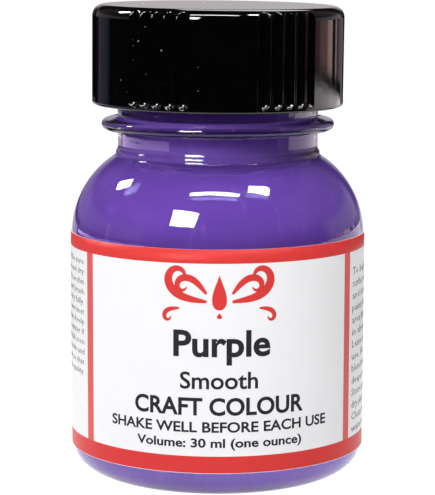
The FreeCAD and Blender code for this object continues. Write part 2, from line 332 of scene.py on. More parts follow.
def bottle_outside():
    """From the rim of the push-up, round the heel and up to the outer edge of the lip."""
    contact = BODY_RADIUS - HEEL_INSET
    rest_inner = contact - REST_RING_WIDTH
    dome = (rest_inner ** 2 + PUSH_UP_HEIGHT ** 2) / (2 * PUSH_UP_HEIGHT)
    join_radius, join_height, wide = heel_join()
    shoulder_centre = BODY_RADIUS - SHOULDER_RADIUS
    # The shoulder runs into the upright collar through a small hollow fillet.
    root = COLLAR_ROOT_RADIUS
    reach_out = SHOULDER_RADIUS + root
    root_height = BODY_TOP + arc_rise(shoulder_centre, reach_out, COLLAR_RADIUS + root)
    share = SHOULDER_RADIUS / reach_out
    fillet_radius = shoulder_centre + (COLLAR_RADIUS + root - shoulder_centre) * share
    fillet_height = BODY_TOP + (root_height - BODY_TOP) * share
    neck_foot = root_height + arc_rise(COLLAR_RADIUS - COLLAR_EDGE_RADIUS, COLLAR_EDGE_RADIUS, NECK_RADIUS)
    # The top of the bead slopes from the neck down to its round nose, and touches the nose smoothly.
    nose = Vector((BEAD_RADIUS - BEAD_EDGE_RADIUS, BEAD_BOTTOM + BEAD_EDGE_RADIUS))
    back = Vector((NECK_RADIUS, BEAD_TOP)) - nose
    along = math.sqrt(back.length_squared - BEAD_EDGE_RADIUS ** 2)
    aside = Vector((back.y, -back.x)) * along
    crown = nose + (back * BEAD_EDGE_RADIUS + aside) * BEAD_EDGE_RADIUS / back.length_squared
    foot = crown + (Vector((NECK_RADIUS, BEAD_TOP)) - crown) * BEAD_SLOPE_SHARE

    line = Profile(0.0, PUSH_UP_HEIGHT)
    line.arc(rest_inner, 0.0, dome, 10, left=False)
    line.line(contact, 0.0, 3)
    line.arc(join_radius, join_height, wide, 14)
    line.arc(BODY_RADIUS, HEEL_HEIGHT, HEEL_WALL_RADIUS, 10)
    line.line(BODY_RADIUS, BODY_TOP, 16)
    line.arc(fillet_radius, fillet_height, SHOULDER_RADIUS, 48)
    line.arc(COLLAR_RADIUS, root_height, root, 8, left=False)
    line.arc(NECK_RADIUS, neck_foot, COLLAR_EDGE_RADIUS, 10)
    line.line(NECK_RADIUS, BEAD_BOTTOM - BEAD_ROOT_RADIUS, 4)
    line.arc(NECK_RADIUS + BEAD_ROOT_RADIUS, BEAD_BOTTOM, BEAD_ROOT_RADIUS, 6, left=False)
    line.line(BEAD_RADIUS - BEAD_EDGE_RADIUS, BEAD_BOTTOM, 3)
    line.arc(BEAD_RADIUS, BEAD_BOTTOM + BEAD_EDGE_RADIUS, BEAD_EDGE_RADIUS, 9)
    line.arc(crown.x, crown.y, BEAD_EDGE_RADIUS, 9)
    line.line(foot.x, foot.y, 3)
    line.line(NECK_RADIUS, BEAD_TOP + foot.x - NECK_RADIUS)
    line.line(NECK_RADIUS, LIP_TOP - LIP_EDGE_RADIUS, 66)
    line.arc(NECK_RADIUS - LIP_EDGE_RADIUS, LIP_TOP, LIP_EDGE_RADIUS, 8)
    return line.points


def cavity_inside(top, grow=0.0):
    """The inside of the bottle from the middle of its floor up to a height in the bore."""
    radius = BODY_RADIUS - WALL + grow
    bore = BORE_RADIUS + grow
    heel = CAVITY_HEEL_RADIUS + grow
    floor = FLOOR_HEIGHT - grow
    bend = SHOULDER_RADIUS - WALL + grow
    centre = BODY_RADIUS - SHOULDER_RADIUS
    root = BORE_ROOT_RADIUS - grow
    root_rise = arc_rise(centre, bend + root, bore + root)
    share = bend / (bend + root)
    line = Profile(0.0, floor)
    line.line(radius - heel, floor, 6)
    line.arc(radius, floor + heel, heel, 12)
    line.line(radius, BODY_TOP, 20)
    line.arc(centre + (bore + root - centre) * share, BODY_TOP + root_rise * share, bend, 28)
    line.arc(bore, BODY_TOP + root_rise, root, 14, left=False)
    line.line(bore, top, 8)
    return line.points


def wall_wave(angle, height):
    """How far the inside of the glass wanders in or out, less towards the floor and in the bore."""
    fade = smooth_step(height, *WAVE_GROWS) * (1 - smooth_step(height, *WAVE_DIES))
    around = Vector((math.cos(angle), math.sin(angle), height / WAVE_LENGTH))
    return WALL_WAVE * fade * noise.noise(around * WAVE_CROWDING)


def waved(radius):
    return lambda angle, height: radius + wall_wave(angle, height)


def finish_radius(angle, height):
    """The outside of the neck above the bead, with its screw thread."""
    rise = thread_rise(angle, height, **BOTTLE_THREAD)
    return NECK_RADIUS + (BOTTLE_THREAD_RADIUS - NECK_RADIUS) * rise


def make_bottle():
    turned = Turned().pole(PUSH_UP_HEIGHT)
    thread_foot = BOTTLE_THREAD["start"] - BOTTLE_THREAD["root_width"]
    thread_head = LIP_TOP - LIP_EDGE_RADIUS
    for radius, height in bottle_outside()[1:]:
        threaded = thread_foot < height < thread_head
        turned.ring(BOTTLE_ANGLES, finish_radius if threaded else radius, height)
    turned.ring(BOTTLE_ANGLES, BORE_RADIUS + BORE_EDGE_RADIUS, LIP_TOP)
    edge = Profile(BORE_RADIUS + BORE_EDGE_RADIUS, LIP_TOP)
    edge.arc(BORE_RADIUS, LIP_TOP - BORE_EDGE_RADIUS, BORE_EDGE_RADIUS, 8)
    for radius, height in edge.points[1:]:
        turned.ring(BOTTLE_ANGLES, radius, height)
    inside = cavity_inside(LIP_TOP - BORE_EDGE_RADIUS)
    for radius, height in reversed(inside[1:-1]):
        turned.ring(BOTTLE_ANGLES, waved(radius), height)
    turned.pole(FLOOR_HEIGHT)
    return turned.build("bottle_glass")


def make_paint():
    """The paint wets the whole inside of the glass and climbs a little at its top edge."""
    turned = Turned().pole(FLOOR_HEIGHT - PAINT_OVERLAP)
    side = cavity_inside(PAINT_LEVEL + MENISCUS_RISE, PAINT_OVERLAP)
    for radius, height in side[1:]:
        turned.ring(BOTTLE_ANGLES, waved(radius), height)
    top_radius = side[-1][0]
    steps = 10
    for step in range(1, steps + 1):
        share = step / steps
        climb = MENISCUS_RISE * (1 - share) ** MENISCUS_SHARPNESS
        turned.ring(BOTTLE_ANGLES, top_radius - MENISCUS_WIDTH * share, PAINT_LEVEL + climb)
    turned.pole(PAINT_LEVEL)
    return turned.build("paint_fill")


# ---- Cap and liner.

def flute_centres():
    centres = []
    for group in range(FLUTE_GROUPS):
        for flute in range(FLUTES_IN_GROUP):
            angle = FIRST_FLUTE_ANGLE + flute * FLUTE_PITCH_ANGLE + TURN * group / FLUTE_GROUPS
            centres.append(from_front(angle) % TURN)
    return centres


FLUTE_CENTRES = flute_centres()


def angle_between(first, second):
    return abs((first - second + TURN / 2) % TURN - TURN / 2)


def cap_angles():
    """Close columns across the flutes, and wide ones on the plain stretches between the groups."""
    kept = []
    for index in range(round(TURN / FINE_COLUMN)):
        angle = index * FINE_COLUMN
        nearest = min(angle_between(angle, centre) for centre in FLUTE_CENTRES)
        if nearest < FLUTE_BORDER or index % FINE_IN_PLAIN_COLUMN == 0:
            kept.append(angle)
    return kept


def flute_radius(nearest, height):
    """How far out a flute's hollow lies this far round from its middle. Its foot is rounded like a ball."""
    axis = CAP_RADIUS + FLUTE_RADIUS - FLUTE_DEPTH
    ball_rise = math.sqrt(FLUTE_RADIUS ** 2 - (FLUTE_RADIUS - FLUTE_DEPTH) ** 2)
    beside = axis * math.sin(nearest)
    below = max(0.0, FLUTE_FOOT + ball_rise - height)
    reach_in = FLUTE_RADIUS ** 2 - beside ** 2 - below ** 2
    if nearest > FLUTE_PITCH_ANGLE or reach_in <= 0:
        return CAP_RADIUS + CLEAR_OF_CAP
    return axis * math.cos(nearest) - math.sqrt(reach_in)


def cap_outside():
    """The plain outside of the cap from the inner edge of its hem, up and over to its top."""
    rim_foot = CAP_HIGH.z - CAP_RIM_RADIUS
    foot_start, foot_end = FLUTE_FOOT_STRETCH
    line = Profile(CAP_RADIUS - CAP_HEM_RADIUS, CAP_LOW.z)
    line.arc(CAP_RADIUS, CAP_LOW.z + CAP_HEM_RADIUS, CAP_HEM_RADIUS, 5)
    line.line(CAP_RADIUS, FLUTE_FOOT + foot_start)
    line.line(CAP_RADIUS, FLUTE_FOOT + foot_end, 22)
    line.line(CAP_RADIUS, rim_foot - CAP_EDGE_STEP, 10)
    line.line(CAP_RADIUS, rim_foot)
    line.arc(CAP_RADIUS - CAP_RIM_RADIUS, CAP_HIGH.z, CAP_RIM_RADIUS, 22)
    return line.points


def fluted(plain_radius, beside_flute):
    """The cap's outside at one height, where beside_flute maps each column to its nearest flute."""
    def radius(angle, height):
        return smooth_min(plain_radius, flute_radius(beside_flute[angle], height), FLUTE_EDGE_SOFTNESS)
    return radius


def cap_inside_radius(angle, height):
    rise = thread_rise(angle, height, **CAP_THREAD)
    return CAP_BORE_RADIUS - (CAP_BORE_RADIUS - CAP_THREAD_RADIUS) * rise


def make_cap():
    inner_angles = even_angles(240)
    outer_angles = cap_angles()
    beside_flute = {
        angle: min(angle_between(angle, centre) for centre in FLUTE_CENTRES) for angle in outer_angles
    }
    turned = Turned().pole(CAP_CEILING)
    ceiling = Profile(CAP_BORE_RADIUS - CAP_CEILING_RADIUS, CAP_CEILING)
    ceiling.arc(CAP_BORE_RADIUS, CAP_CEILING - CAP_CEILING_RADIUS, CAP_CEILING_RADIUS, 5, left=False)
    for radius, height in ceiling.points:
        turned.ring(inner_angles, radius, height)
    bore_foot = CAP_LOW.z + CAP_BORE_CHAMFER
    bore = Profile(CAP_BORE_RADIUS, CAP_CEILING - CAP_CEILING_RADIUS).line(CAP_BORE_RADIUS, bore_foot, 72)
    for radius, height in bore.points[1:]:
        turned.ring(inner_angles, cap_inside_radius, height)
    turned.ring(inner_angles, CAP_BORE_RADIUS + CAP_BORE_CHAMFER, CAP_LOW.z)
    for radius, height in cap_outside():
        turned.ring(outer_angles, fluted(radius, beside_flute), height)
    top_radius = CAP_RADIUS - CAP_RIM_RADIUS
    turned.ring(inner_angles, top_radius - CAP_EDGE_STEP, CAP_HIGH.z)
    turned.ring(inner_angles, top_radius / 2, CAP_HIGH.z)
    turned.pole(CAP_HIGH.z)
    piece = turned.build("cap_shell")
    lean_outside(piece.data)
    return piece


def lean_outside(mesh):
    """The outside of the cap sits a little askew on its bore, lower at the front and on the right."""
    middle = Vector((0, 0, (CAP_LOW.z + CAP_HIGH.z) / 2))
    lean = Matrix.Rotation(CAP_LEAN_FORWARD, 3, "X") @ Matrix.Rotation(CAP_LEAN_RIGHT, 3, "Y")
    for vert in mesh.vertices:
        outside = vert.co.xy.length > CAP_RADIUS - CAP_HEM_RADIUS - FLUTE_DEPTH
        if outside or vert.co.z > CAP_CEILING + MM / 2:
            vert.co = middle + lean @ (vert.co - middle)


def make_liner():
    edge = LINER_EDGE_RADIUS
    angles = even_angles(180)
    line = Profile(LINER_RADIUS - edge, LINER_LOW.z)
    line.arc(LINER_RADIUS, LINER_LOW.z + edge, edge, 4)
    line.line(LINER_RADIUS, LINER_HIGH.z - edge, 3)
    line.arc(LINER_RADIUS - edge, LINER_HIGH.z, edge, 4)
    turned = Turned().pole(LINER_LOW.z)
    turned.ring(angles, LINER_RADIUS / 2, LINER_LOW.z)
    for radius, height in line.points:
        turned.ring(angles, radius, height)
    turned.ring(angles, LINER_RADIUS / 2, LINER_HIGH.z)
    turned.pole(LINER_HIGH.z)
    return turned.build("liner_disc")


# ---- Label and its print.

PAPER_SLOT = 0
BAND_SLOT = 1
BAR_SLOT = 2


def stepped(breaks, step):
    """The break values, with even steps no longer than step between each pair."""
    values = [breaks[0]]
    for low, high in zip(breaks, breaks[1:]):
        count = math.ceil((high - low) / step - 1e-6)
        values.extend(low + (high - low) * index / count for index in range(1, count + 1))
    return values


def finish_at(angle, height):
    """What covers a place on the label: bare paper, a red band or one of the paler upright bars."""
    if height < LABEL_LOW.z + BARE_EDGE:
        return PAPER_SLOT
    if height > TOP_BAND_FOOT or height < BOTTOM_BAND_TOP:
        return BAND_SLOT
    if BAR_INNER_ANGLE < abs(angle - PRINT_TURN) < BAR_OUTER_ANGLE:
        return BAR_SLOT
    return PAPER_SLOT


def patch(rows, row, column):
    """The four corners of one patch of a grid of points."""
    low, high = rows[row], rows[row + 1]
    return [low[column], low[column + 1], high[column + 1], high[column]]


def make_label():
    """One strip of paper whose faces are split along the edges of the red frame printed on it."""
    seam = TURN / 2 - SEAM_HALF_ANGLE
    bars = [side * edge + PRINT_TURN for side in (-1, 1) for edge in (BAR_INNER_ANGLE, BAR_OUTER_ANGLE)]
    angles = stepped([-seam, *sorted(bars), seam], LABEL_COLUMN)
    breaks = [LABEL_LOW.z, LABEL_LOW.z + BARE_EDGE, BOTTOM_BAND_TOP, TOP_BAND_FOOT, LABEL_HIGH.z]
    heights = stepped(breaks, LABEL_ROW)
    mesh = bmesh.new()
    sides = []
    for radius in (LABEL_RADIUS, LABEL_RADIUS - LABEL_THICKNESS):
        rows = []
        for height in heights:
            row = []
            for angle in angles:
                round_angle = from_front(angle)
                point = (radius * math.cos(round_angle), radius * math.sin(round_angle), height)
                row.append(mesh.verts.new(point))
            rows.append(row)
        sides.append(rows)
    outer, inner = sides
    last_row = len(heights) - 1
    last_column = len(angles) - 1
    for row in range(last_row):
        for column in range(last_column):
            front = mesh.faces.new(patch(outer, row, column))
            front.smooth = True
            middle_angle = (angles[column] + angles[column + 1]) / 2
            middle_height = (heights[row] + heights[row + 1]) / 2
            front.material_index = finish_at(middle_angle, middle_height)
            back = mesh.faces.new(patch(inner, row, column)[::-1])
            back.smooth = True
    for column in range(last_column):
        after = column + 1
        for row, flip in ((0, False), (last_row, True)):
            corners = [outer[row][column], inner[row][column], inner[row][after], outer[row][after]]
            mesh.faces.new(corners[::-1] if flip else corners)
    for row in range(last_row):
        above = row + 1
        for column, flip in ((0, False), (last_column, True)):
            corners = [outer[row][column], outer[above][column], inner[above][column], inner[row][column]]
            mesh.faces.new(corners[::-1] if flip else corners)
    return build_piece("label_wrap", mesh)


def build_piece(name, mesh):
    data = bpy.data.meshes.new(name)
    mesh.to_mesh(data)
    mesh.free()
    return add_object(name, data)


def flat_mesh(curve):
    """The filled outlines of a curve or a line of text, as a slab from -1 to 1 in Z."""
    curve.extrude = 1.0
    holder = add_object("outline", curve)
    bpy.context.view_layer.update()
    evaluated = holder.evaluated_get(bpy.context.evaluated_depsgraph_get())
    data = bpy.data.meshes.new_from_object(evaluated)
    mesh = bmesh.new()
    mesh.from_mesh(data)
    bpy.data.objects.remove(holder)
    bpy.data.meshes.remove(data)
    bmesh.ops.remove_doubles(mesh, verts=mesh.verts, dist=1e-5)
    bmesh.ops.triangulate(mesh, faces=mesh.faces)
    return mesh


def text_mesh(words, boldness, smoothness):
    curve = bpy.data.curves.new("words", "FONT")
    curve.body = words
    curve.offset = boldness
    curve.resolution_u = smoothness
    return flat_mesh(curve)


def extent(mesh, axis):
    values = [vert.co[axis] for vert in mesh.verts]
    return min(values), max(values)


def fit_text(words, width, cap_height, boldness=0.0, smoothness=4):
    """A line of text as wide and tall as asked, centred across and standing on its baseline."""
    capital = text_mesh("H", boldness, 1)
    foot, head = extent(capital, 1)
    capital.free()
    mesh = text_mesh(words, boldness, smoothness)
    left, right = extent(mesh, 0)
    across = width / (right - left)
    up = cap_height / (head - foot)
    for vert in mesh.verts:
        vert.co.x = (vert.co.x - (left + right) / 2) * across
        vert.co.y = (vert.co.y - foot) * up
    return mesh


def wrap_on_label(mesh, angle, height, step=0.7 * MM):
    """Bends a flat slab round the label. Its X runs round from the angle, and its Y up from the height."""
    left, right = extent(mesh, 0)
    cuts = int((right - left) / step)
    for cut in range(1, cuts + 1):
        geometry = [*mesh.verts, *mesh.edges, *mesh.faces]
        place = Vector((left + cut * step, 0, 0))
        bmesh.ops.bisect_plane(mesh, geom=geometry, plane_co=place, plane_no=(1, 0, 0), dist=1e-7)
    for vert in mesh.verts:
        around = from_front(angle) + vert.co.x / LABEL_RADIUS
        radius = LABEL_RADIUS + (INK_PROUD if vert.co.z > 0 else -INK_SUNK)
        vert.co = (radius * math.cos(around), radius * math.sin(around), height + vert.co.y)
    bmesh.ops.remove_doubles(mesh, verts=mesh.verts, dist=SHORTEST_EDGE)
    return mesh


def joined(name, meshes):
    """One piece from several meshes."""
    whole = bmesh.new()
    for mesh in meshes:
        data = bpy.data.meshes.new("part")
        mesh.to_mesh(data)
        mesh.free()
        whole.from_mesh(data)
        bpy.data.meshes.remove(data)
    return build_piece(name, whole)


# Each front line: its words, its middle's angle in degrees, its foot, width and capital height in
# millimetres, and how bold it is.
FRONT_LINES = (
    ("Purple", 1.8, 17.4, 11.5, 3.15, 0.026),
    ("Smooth", 0.7, 13.6, 9.2, 2.02, 0.016),
    ("CRAFT COLOUR", 0.9, 10.45, 20.9, 2.1, 0.027),
    ("SHAKE WELL BEFORE EACH USE", 1.0, 8.43, 28.0, 1.25, 0.024),
    ("Volume: 30 ml (one ounce)", 1.0, 6.62, 20.4, 1.08, 0.026),
)

LEFT_PANEL = (
    "Stir the paint well. Be sure",
    "the surface is clean and dry",
    "before you start. Put on thin",
    "even coats with a soft brush",
    "and let each one dry fully.",
    "Two or three coats cover most",
    "surfaces. Mix colours freely",
    "and thin with clean water if",
    "needed. Rinse the brush soon",
    "after use. Wipe the rim and",
    "close the cap firmly so that",
    "the paint keeps its quality.",
)
RIGHT_PANEL = (
    "To begin with, wipe the",
    "surface with a damp cloth",
    "and let it dry. Test the",
    "paint on a small hidden",
    "area first. Dry to touch",
    "in about ten minutes.",
    "Leave overnight before",
    "use. For a softer shade",
    "blend with white. For a",
    "deeper shade add black.",
    "Store upright in a cool,",
    "dry place away from frost.",
    "Clean tools with warm",
    "water and mild soap.",
)
# Side panels: the angle of the edge nearest the front, the middle of the first line, the line pitch, the
# capital height and the width of the block, in degrees and millimetres.
LEFT_BLOCK = (-62.2, 26.75, 1.227, 0.72, 17.5)
RIGHT_BLOCK = (63.9, 25.5, 1.494, 0.9, 17.5)


def make_front_text():
    lines = []
    for words, angle, foot, width, cap_height, boldness in FRONT_LINES:
        mesh = fit_text(words, width * MM, cap_height * MM, boldness)
        lines.append(wrap_on_label(mesh, math.radians(angle), foot * MM))
    return joined("label_lines", lines)


def make_side_text(name, panel, block):
    """A justified block of small print that runs back from its edge nearest the front."""
    edge_angle, first_foot, pitch, cap_height, width = block
    middle = math.radians(edge_angle) + math.copysign(width * MM / 2 / LABEL_RADIUS, edge_angle)
    lines = []
    for number, words in enumerate(panel):
        mesh = fit_text(words, width * MM, cap_height * MM, smoothness=1)
        lines.append(wrap_on_label(mesh, middle, (first_foot - number * pitch) * MM, step=2 * MM))
    return joined(name, lines)


def outline_mesh(outline):
    """A filled closed outline given as (x, y) points."""
    curve = bpy.data.curves.new("outline", "CURVE")
    curve.dimensions = "2D"
    curve.fill_mode = "BOTH"
    spline = curve.splines.new("POLY")
    spline.points.add(len(outline) - 1)
    for point, (across, up) in zip(spline.points, outline):
        point.co = (across, up, 0, 1)
    spline.use_cyclic_u = True
    return flat_mesh(curve)


def scroll_outline(start, heading, length, curl, width, side):
    """A tapering stroke that runs out nearly straight and curls up at its far end."""
    steps = 56
    lateness = 2.6
    blunt_start = 0.06
    fullness = 0.8
    least_half = 0.03 * MM
    across, up = start
    left = []
    right = []
    for step in range(steps + 1):
        share = step / steps
        angle = heading + curl * share ** lateness
        swell = math.sin(math.pi * min(1.0, blunt_start + (1 - blunt_start) * share)) ** fullness
        half = width / 2 * swell + least_half
        left.append((side * (across - half * math.sin(angle)), up + half * math.cos(angle)))
        right.append((side * (across + half * math.sin(angle)), up - half * math.cos(angle)))
        across += length / steps * math.cos(angle)
        up += length / steps * math.sin(angle)
    return left + right[::-1]


def drop_outline(middle, width, height):
    """A paint drop with a pointed top."""
    across, up = middle
    steps = 40
    pointedness = 1.6
    widening = 1.25
    outline = []
    for step in range(steps):
        angle = TURN * step / steps
        swell = math.sin(angle) * math.sin(angle / 2) ** pointedness
        outline.append((across + width / 2 * swell * widening, up + height / 2 * math.cos(angle)))
    return outline


# The red ornament: a drop between two pairs of mirrored scrolls.
ORNAMENT_MIDDLE = (0.8, 25.0)
SCROLLS = (
    # start, heading in degrees, length, curl in degrees, width
    ((1.5, -1.1), 8, 9.6, 330, 0.95),
    ((1.5, -0.2), 52, 6.4, -330, 0.75),
    ((4.7, -1.9), -4, 3.6, -300, 0.5),
)
DROPS = (((0.0, 0.0), 2.0, 4.2), ((0.0, -2.75), 0.7, 0.7))


def make_ornament():
    angle, height = ORNAMENT_MIDDLE
    outlines = []
    for start, heading, length, curl, width in SCROLLS:
        place = (start[0] * MM, start[1] * MM)
        stroke = (math.radians(heading), length * MM, math.radians(curl), width * MM)
        for side in (1, -1):
            outlines.append(scroll_outline(place, *stroke, side))
    for middle, width, tall in DROPS:
        outlines.append(drop_outline((middle[0] * MM, middle[1] * MM), width * MM, tall * MM))
    shapes = []
    for outline in outlines:
        shapes.append(wrap_on_label(outline_mesh(outline), math.radians(angle), height * MM))
    return joined("label_ornament", shapes)


# ---- Materials.

class Shader:
    """A node tree with short calls to add and join its nodes."""

    def __init__(self, owner):
        owner.use_nodes = True
        self.tree = owner.node_tree
        self.tree.nodes.clear()

    def node(self, kind, inputs=None, **settings):
        item = self.tree.nodes.new("ShaderNode" + kind)
        for name, value in settings.items():
            setattr(item, name, value)
        for name, value in (inputs or {}).items():
            socket = item.inputs[name]
            if isinstance(value, bpy.types.NodeSocket):
                self.tree.links.new(value, socket)
            elif socket.type == "RGBA":
                socket.default_value = (*value, 1)
            else:
                socket.default_value = value
        return item

    def math(self, operation, first, second=0.0, clamp=False):
        item = self.node("Math", {0: first, 1: second}, operation=operation, use_clamp=clamp)
        return item.outputs[0]

    def span(self, value, low, high, to_low=0.0, to_high=1.0):
        """The value's place between low and high, eased, as a place between two others."""
        inputs = {"Value": value, "From Min": low, "From Max": high, "To Min": to_low, "To Max": to_high}
        return self.node("MapRange", inputs, interpolation_type="SMOOTHSTEP").outputs[0]

    def window(self, value, low, high, softness):
        """1 between low and high, 0 outside them, eased across each end."""
        rising = self.span(value, low - softness, low + softness)
        falling = self.span(value, high + softness, high - softness)
        return self.math("MULTIPLY", rising, falling)

    def colour_mix(self, share, first, second):
        item = self.node("Mix", {0: share, 6: first, 7: second}, data_type="RGBA")
        return item.outputs[2]

    def mix(self, share, first, second):
        """Two shaders mixed by share, from all of the first at 0 to all of the second at 1."""
        return self.node("MixShader", {0: share, 1: first.outputs[0], 2: second.outputs[0]})

    def place(self):
        """The piece's own coordinates, in millimetres."""
        source = self.node("TexCoord").outputs["Object"]
        scaled = self.node("VectorMath", {0: source}, operation="SCALE")
        scaled.inputs["Scale"].default_value = 1 / MM
        return scaled.outputs[0]

    def noise(self, place, scale, detail=3.0, roughness=0.5):
        inputs = {"Vector": place, "Scale": scale, "Detail": detail, "Roughness": roughness}
        return self.node("TexNoise", inputs).outputs[0]

    def bump(self, height, depth, strength=1.0, after=None):
        """A bump whose height, from 0 to 1, stands for a depth in metres."""
        inputs = {"Height": height, "Distance": depth, "Strength": strength}
        if after is not None:
            inputs["Normal"] = after
        return self.node("Bump", inputs).outputs[0]

    def specks(self, place, scale, size, share):
        """Small round specks, one in some of the cells of a pattern: 1 on a speck, 0 beside it."""
        cells = self.node("TexVoronoi", {"Vector": place, "Scale": scale}, feature="F1")
        chance = self.node("SeparateColor", {0: cells.outputs["Color"]}).outputs[0]
        chosen = self.math("LESS_THAN", chance, share)
        core = 0.55 * size
        near = self.span(cells.outputs["Distance"], size, core)
        return self.math("MULTIPLY", chosen, near)

    def output(self, shader, kind="OutputMaterial"):
        self.node(kind, {"Surface": shader})


def new_material(name):
    material = bpy.data.materials.new(name)
    return material, Shader(material)


def clear_glass():
    material, shader = new_material("clear_glass")
    place = shader.place()
    ripple = shader.noise(place, 0.22, 2.0)
    stretched = shader.node("Mapping", {"Vector": place, "Scale": (0.25, 0.25, 2.2)}).outputs[0]
    mould = shader.noise(stretched, 0.6, 2.0)
    bump = shader.bump(ripple, 0.05 * MM)
    bump = shader.bump(mould, 0.004 * MM, after=bump)
    seeds = shader.specks(place, 0.28, 0.035, 0.3)
    bump = shader.bump(seeds, 0.03 * MM, after=bump)
    glass = shader.node("BsdfPrincipled", {
        "Base Color": (0.97, 0.985, 0.98),
        "Roughness": 0.0,
        "IOR": 1.5,
        "Transmission Weight": 1.0,
        "Normal": bump,
    })
    path = shader.node("LightPath")
    mixed = shader.mix(path.outputs["Is Shadow Ray"], glass, shader.node("BsdfTransparent"))
    shader.output(mixed.outputs[0])
    return material


# Where a band of painted light lies on the paint in the neck, and above which height painted shade standing
# for the cap's shadow darkens it, in millimetres, and how strong each tone is.
PAINTED_LIGHT_BAND = (38.6, 41.0)
PAINTED_LIGHT_SHARE = 0.35
PAINTED_SHADE_HEIGHT = 42.2
PAINTED_SHADE_SHARE = 0.75
PAINTED_TONE_SOFTNESS = 0.5


def violet_paint():
    material, shader = new_material("violet_paint")
    place = shader.place()
    cloud = shader.noise(place, 0.16, 3.0)
    colour = shader.colour_mix(cloud, (0.088, 0.037, 0.25), (0.115, 0.050, 0.31))
    # Faint upright streaks where the paint has run down the glass.
    upright = shader.node("Mapping", {"Vector": place, "Scale": (1.0, 1.0, 0.12)}).outputs[0]
    streak = shader.span(shader.noise(upright, 0.55, 4.0, 0.65), 0.56, 0.74, 0.0, 0.35)
    colour = shader.colour_mix(streak, colour, (0.20, 0.12, 0.42))
    # Painted shade, standing for the cap's shadow, darkens the paint at the top of the neck, with a band of
    # painted light below it.
    height = shader.node("SeparateXYZ", {0: place}).outputs["Z"]
    # The lighter band mixed in here is painted light.
    thin = shader.math("MULTIPLY", shader.window(height, *PAINTED_LIGHT_BAND, PAINTED_TONE_SOFTNESS), PAINTED_LIGHT_SHARE)
    colour = shader.colour_mix(thin, colour, (0.23, 0.12, 0.50))
    foot, head = PAINTED_SHADE_HEIGHT - PAINTED_TONE_SOFTNESS, PAINTED_SHADE_HEIGHT + PAINTED_TONE_SOFTNESS
    painted_shade = shader.span(height, foot, head, 0.0, PAINTED_SHADE_SHARE)
    colour = shader.colour_mix(painted_shade, colour, (0.018, 0.004, 0.065))
    film = shader.noise(place, 0.9, 2.0)
    paint = shader.node("BsdfPrincipled", {
        "Base Color": colour,
        "Roughness": 0.05,
        "Specular IOR Level": 0.13,
        "Specular Tint": (0.55, 0.55, 1.0),
        "Normal": shader.bump(film, 0.004 * MM),
    })
    shader.output(paint.outputs[0])
    return material


def paper(name, colour, darker):
    """Smooth label paper or its ink, with a fine tooth and a little unevenness in its colour."""
    material, shader = new_material(name)
    place = shader.place()
    blotch = shader.noise(place, 0.35, 3.0)
    grain = shader.noise(place, 9.0, 3.0, 0.6)
    tone = shader.math("MULTIPLY", shader.math("ADD", blotch, grain), 0.5)
    sheet = shader.node("BsdfPrincipled", {
        "Base Color": shader.colour_mix(tone, colour, darker),
        "Roughness": shader.span(grain, 0.3, 0.7, 0.36, 0.48),
        "Specular IOR Level": 0.12,
        "Normal": shader.bump(grain, 0.004 * MM, 0.6, shader.bump(blotch, 0.02 * MM)),
    })
    shader.output(sheet.outputs[0])
    return material


def black_plastic():
    material, shader = new_material("black_plastic")
    place = shader.place()
    smear = shader.noise(place, 0.3, 4.0, 0.6)
    fine = shader.noise(place, 14.0, 2.0)
    dust = shader.specks(place, 0.42, 0.05, 0.35)
    fine_dust = shader.specks(place, 1.3, 0.07, 0.18)
    dusty = shader.math("MAXIMUM", dust, shader.math("MULTIPLY", fine_dust, 0.5))
    plastic = shader.node("BsdfPrincipled", {
        "Base Color": shader.colour_mix(dusty, (0.0006, 0.0005, 0.0007), (0.7, 0.7, 0.68)),
        "Roughness": shader.math("MAXIMUM", shader.span(smear, 0.35, 0.75, 0.03, 0.09), dusty),
        "IOR": 1.5,
        "Normal": shader.bump(fine, 0.0006 * MM, 1.0, shader.bump(smear, 0.005 * MM)),
    })
    shader.output(plastic.outputs[0])
    return material


def white_foam():
    material, shader = new_material("white_foam")
    place = shader.place()
    cells = shader.node("TexVoronoi", {"Vector": place, "Scale": 6.0}, feature="F1").outputs["Distance"]
    tint = shader.noise(place, 0.5, 3.0)
    foam = shader.node("BsdfPrincipled", {
        "Base Color": shader.colour_mix(tint, (0.83, 0.82, 0.79), (0.74, 0.73, 0.70)),
        "Roughness": 0.75,
        "Normal": shader.bump(cells, 0.03 * MM),
    })
    shader.output(foam.outputs[0])
    return material


# ---- Stage, light and camera.

STAGE_HALF = 6.0
EVERY_ANGLE = (-200, 200)
NO_END = 100.0

# What mirror-like surfaces see of the floor and of the room. Each patch lies between two angles from the
# front towards +X, in degrees, and gives its own colour of light. A floor patch also lies between two
# distances from the jar in metres, and a room patch between two angles above the floor in degrees.
FLOOR_PATCHES = (
    (EVERY_ANGLE, (-1.0, 0.09), (1.70, 1.70, 1.71)),
    ((87, 150), (0.13, 0.50), (1.60, 1.40, 1.55)),
    ((97, 150), (0.50, 0.59), (2.10, 1.95, 2.00)),
    ((-140, -57), (0.34, 0.48), (2.20, 1.60, 2.90)),
    ((150, 200), (0.13, 0.55), (0.75, 0.73, 0.75)),
    ((-200, -143), (0.13, 0.55), (0.70, 0.68, 0.72)),
    ((-139, -120), (0.60, NO_END), (0.14, 0.13, 0.18)),
    ((-120, -116), (0.60, NO_END), (0.04, 0.11, 0.15)),
    ((95, 104), (0.68, NO_END), (0.45, 0.20, 0.25)),
    ((104, 117), (0.68, NO_END), (0.80, 0.50, 0.50)),
    ((117, 126), (0.68, NO_END), (1.75, 1.25, 1.08)),
    ((132.5, 136.5), (0.68, NO_END), (0.85, 0.75, 0.73)),
    ((137, 141), (0.68, NO_END), (0.12, 0.10, 0.10)),
    ((141, 150), (0.68, NO_END), (0.27, 0.23, 0.23)),
    ((150, 170), (0.55, NO_END), (0.26, 0.23, 0.23)),
)
FLOOR_UNLIT = (0.012, 0.010, 0.012)
FLOOR_SOFTNESS = (1.2, 0.02)
